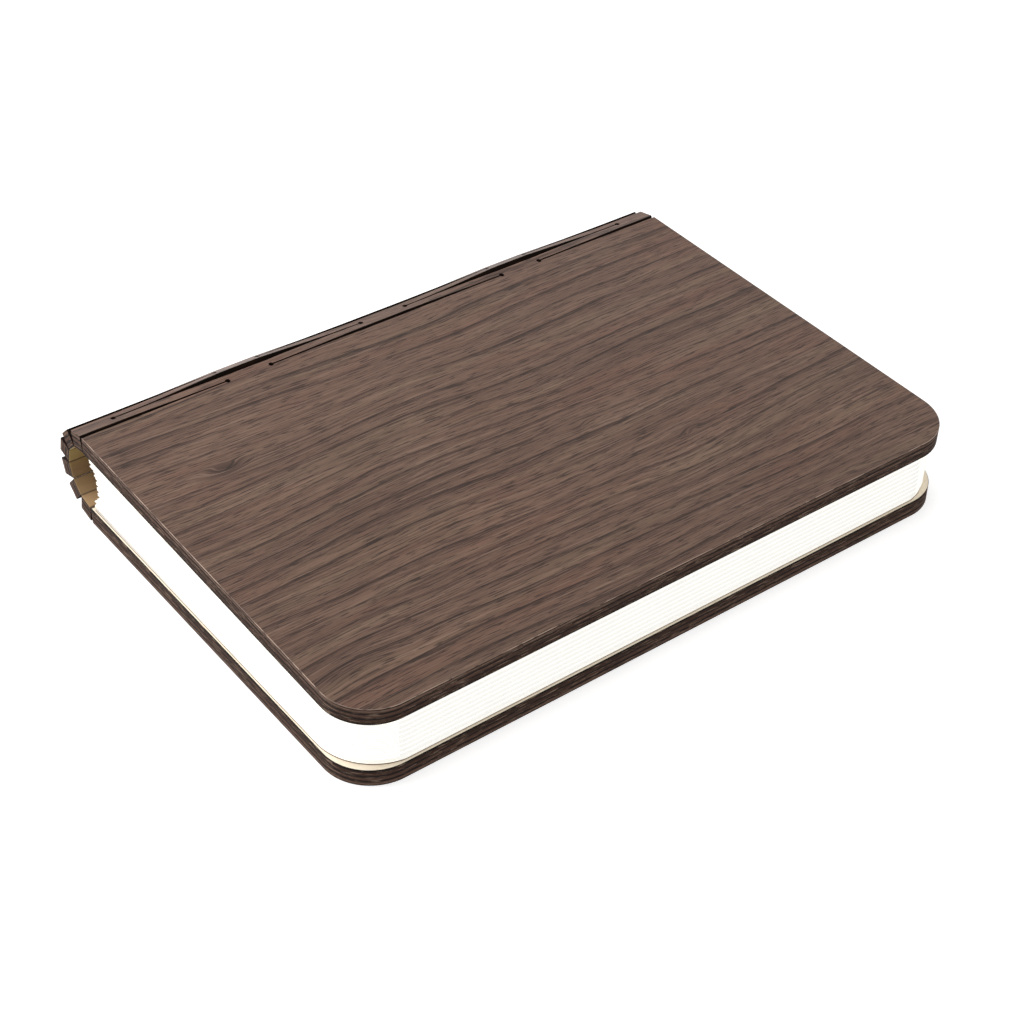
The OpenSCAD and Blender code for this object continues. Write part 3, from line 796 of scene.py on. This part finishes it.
class LAMP_OT_spine(bpy.types.Operator):
    """Makes the living hinge: bridges, and the strips that twist between them"""

    bl_idname = "lamp.spine"
    bl_label = "Spine"

    def execute(self, context):
        board = context.scene.lamp_board
        finishes = board_finishes(board)
        for stave in range(1, STAVES + 1):
            obj = build(f"stave_{stave}_bridges", list(stave_bridges(board, stave)), finishes[:ARRIS])
            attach(obj, f"stave_{stave}")
            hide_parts(f"stave_{stave}")
        for fold in range(1, STAVES):
            obj = build(f"fold_{fold}_bridges", list(fold_bridges(board, fold)), finishes[:ARRIS])
            # With its ends this far off, the whole bridge turns half way
            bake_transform(obj)
        runs = [(board.mid_bridge, board.fold_bridge_from), (board.end_bridge, board.fold_bridge_to)]
        for stave in range(1, STAVES + 1):
            for near_back in (False, True):
                fold = stave if near_back else stave - 1
                for run, (own, far) in enumerate(runs):
                    stations = both_ways(strip_stations(board, min(own, far), max(own, far)))
                    for side, x in zip((-1, 1), stations):
                        name = f"strip_{stave}{'b' if near_back else 'a'}_{2 * run + (side + 3) // 2}"
                        obj = build(name, [twisting_strip(board, stave, near_back, x)], finishes[:ARRIS])
                        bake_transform(obj)
        return {"FINISHED"}


class LAMP_OT_pages(bpy.types.Operator):
    """Finishes the end pages and the eight turning pages"""

    bl_idname = "lamp.pages"
    bl_label = "Pages"

    def execute(self, context):
        paper = context.scene.lamp_paper
        loose = spun_paper("spun_bonded_paper", paper)
        dress(loose, "front_end_page", *(f"page_{k}" for k in range(1, 9)))
        dress(spun_paper("glued_paper", paper, 2 * HALF_BOARD), "back_end_page")
        return {"FINISHED"}


class LAMP_OT_light_bar(bpy.types.Operator):
    """Finishes the light bar and what is in it"""

    bl_idname = "lamp.light_bar"
    bl_label = "Light bar"

    def execute(self, context):
        roughness = context.scene.lamp_bar.plastic_roughness
        # ABS: extruded and moulded, white and a little glossy
        abs_plastic = moulded("extruded_abs", "#EDEDE8", "#E0E0DA", roughness)
        dress(abs_plastic, "bar_housing", "bar_end_cap", "bar_socket_cap")
        # Opal polycarbonate: milky strip that hides the chips
        opal = {"Transmission Weight": 0.25, "IOR": 1.58}
        dress(moulded("opal_polycarbonate", "#F3F3EE", "#E9E9E3", 0.5, **opal), "bar_lens")
        # White solder mask over glass laminate
        dress(moulded("white_solder_mask", "#ECEEE6", "#DFE2D8", 0.35), "led_board")
        # Silicone with phosphor, cured in a white chip
        dress(moulded("phosphor_silicone", "#EBD173", "#E0C25E", 0.3), "led_chips")
        # Green solder mask over glass laminate
        dress(moulded("green_solder_mask", "#1E5B34", "#184B2B", 0.3), "control_board")
        # Epoxy of chip packages, moulded
        dress(moulded("moulded_epoxy", "#1B1B1D", "#242426", 0.55), "charge_chip", "lid_sensor")
        # PVC insulation of thin leads
        dress(moulded("pvc_insulation", "#9C241C", "#861D16", 0.4), "battery_leads", "led_leads")
        # Acrylic light pipe: clear
        clear = {"Transmission Weight": 0.9, "IOR": 1.49}
        dress(moulded("clear_acrylic", "#E6EEF0", "#DCE6E9", 0.12, **clear), "charge_light_pipe")
        dress(pouch_foil(), "battery_cell")
        dress(bpy.data.materials.get("plated_nickel") or plated_nickel(), "usb_socket")
        dress(woven_tape(), "bar_tape_upper", "bar_tape_lower")
        return {"FINISHED"}


class LAMP_OT_magnets(bpy.types.Operator):
    """Finishes the magnets in the covers"""

    bl_idname = "lamp.magnets"
    bl_label = "Magnets"

    def execute(self, context):
        dress(bpy.data.materials.get("plated_nickel") or plated_nickel(),
              "front_cover_magnets", "back_cover_magnets", "trigger_magnet")
        return {"FINISHED"}


class LAMP_OT_stage(bpy.types.Operator):
    """Makes the floor, the light and the camera"""

    bl_idname = "lamp.stage"
    bl_label = "Stage"

    def execute(self, context):
        stage = context.scene.lamp_stage
        scene = context.scene
        scene.view_settings.view_transform = "Standard"
        self.camera(scene, stage)
        self.light(scene, stage)
        self.floor(scene, stage)
        return {"FINISHED"}

    def camera(self, scene, stage):
        """The photograph's view of the closed book, from above its near spine end and fore-edge."""
        data = bpy.data.cameras.new("photo_view")
        data.sensor_width = 36
        data.lens = stage.focal
        camera = bpy.data.objects.new("photo_view", data)
        scene.collection.objects.link(camera)
        right = (0.80080166, -0.59885713, 0.00931831)
        up = (0.36337537, 0.49816159, 0.78726957)
        back = (-0.47610402, -0.62706074, 0.61653856)
        place = (-0.234933, -0.307932, 0.300819)
        rows = [(*axes, at) for *axes, at in zip(right, up, back, place)]
        camera.matrix_world = Matrix([*rows, (0, 0, 0, 1)])
        scene.camera = camera

    def seen(self, tree):
        """1 for the rays that show a background: the camera's, reflected and refracted ones."""
        kinds = [add(tree, "LightPath", out=kind) for kind in ("Is Camera Ray", "Is Glossy Ray",
                                                               "Is Transmission Ray")]
        either = add(tree, "Math", kinds[:2], operation="MAXIMUM")
        return add(tree, "Math", [either, kinds[2]], operation="MAXIMUM")

    def light(self, scene, stage):
        """A large softbox behind and above, and even light all round."""
        data = bpy.data.lights.new("softbox", "AREA")
        data.shape = "SQUARE"
        data.size = stage.key_size
        data.energy = stage.key_power
        softbox = bpy.data.objects.new("softbox", data)
        softbox.location = stage.key_place
        softbox.rotation_euler = softbox.location.to_track_quat("Z", "Y").to_euler()
        scene.collection.objects.link(softbox)
        world = bpy.data.worlds.new("studio")
        world.use_nodes = True
        tree = world.node_tree
        tree.nodes.clear()
        strength = add(tree, "MapRange", [self.seen(tree), 0.0, 1.0, stage.world_light, 1.0])
        add(tree, "OutputWorld", [add(tree, "Background", [(1, 1, 1, 1), strength])])
        scene.world = world

    def floor(self, scene, stage):
        """A pale floor. The camera sees it lifted to white, less where the object shades it."""
        mesh = bpy.data.meshes.new("floor")
        half, z = stage.floor_half, -stage.floor_drop
        corners = [(-half, -half, z), (half, -half, z), (half, half, z), (-half, half, z)]
        mesh.from_pydata(corners, [], [(0, 1, 2, 3)])
        floor = bpy.data.objects.new("floor", mesh)
        scene.collection.objects.link(floor)
        material, tree = blank("painted_board", stage.floor)
        lift = add(tree, "Math", [self.seen(tree), stage.floor_lift], operation="MULTIPLY")
        add(tree, "OutputMaterial", [add(tree, "BsdfPrincipled", {
            "Base Color": stage.floor, "Roughness": 0.9, "Emission Color": (1, 1, 1, 1),
            "Emission Strength": lift})])
        mesh.materials.append(material)


class LAMP_PT_panel(bpy.types.Panel):
    """The lamp's pieces and settings in the 3D view's sidebar"""

    bl_label = "Book lamp"
    bl_idname = "LAMP_PT_panel"
    bl_space_type = "VIEW_3D"
    bl_region_type = "UI"
    bl_category = "Book lamp"

    def draw(self, context):
        for operator in OPERATORS:
            self.layout.operator(operator.bl_idname)
        for group in (context.scene.lamp_board, context.scene.lamp_paper, context.scene.lamp_bar,
                      context.scene.lamp_stage):
            column = self.layout.column()
            for name in group.bl_rna.properties.keys():
                if name not in ("rna_type", "name"):
                    column.prop(group, name)


OPERATORS = (LAMP_OT_covers, LAMP_OT_spine, LAMP_OT_pages, LAMP_OT_light_bar, LAMP_OT_magnets, LAMP_OT_stage)
SETTINGS = {"lamp_board": BoardSettings, "lamp_paper": PaperSettings, "lamp_bar": BarSettings,
            "lamp_stage": StageSettings}


def register():
    for group in (*SETTINGS.values(), *OPERATORS, LAMP_PT_panel):
        bpy.utils.register_class(group)
    for name, group in SETTINGS.items():
        setattr(bpy.types.Scene, name, PointerProperty(type=group))


def unregister():
    for name in SETTINGS:
        delattr(bpy.types.Scene, name)
    for group in (LAMP_PT_panel, *reversed(OPERATORS), *reversed(SETTINGS.values())):
        bpy.utils.unregister_class(group)


def main():
    """Registers the add-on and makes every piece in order."""
    register()
    bpy.ops.lamp.covers()
    bpy.ops.lamp.spine()
    bpy.ops.lamp.pages()
    bpy.ops.lamp.light_bar()
    bpy.ops.lamp.magnets()
    bpy.ops.lamp.stage()


if __name__ == "__main__":
    main()
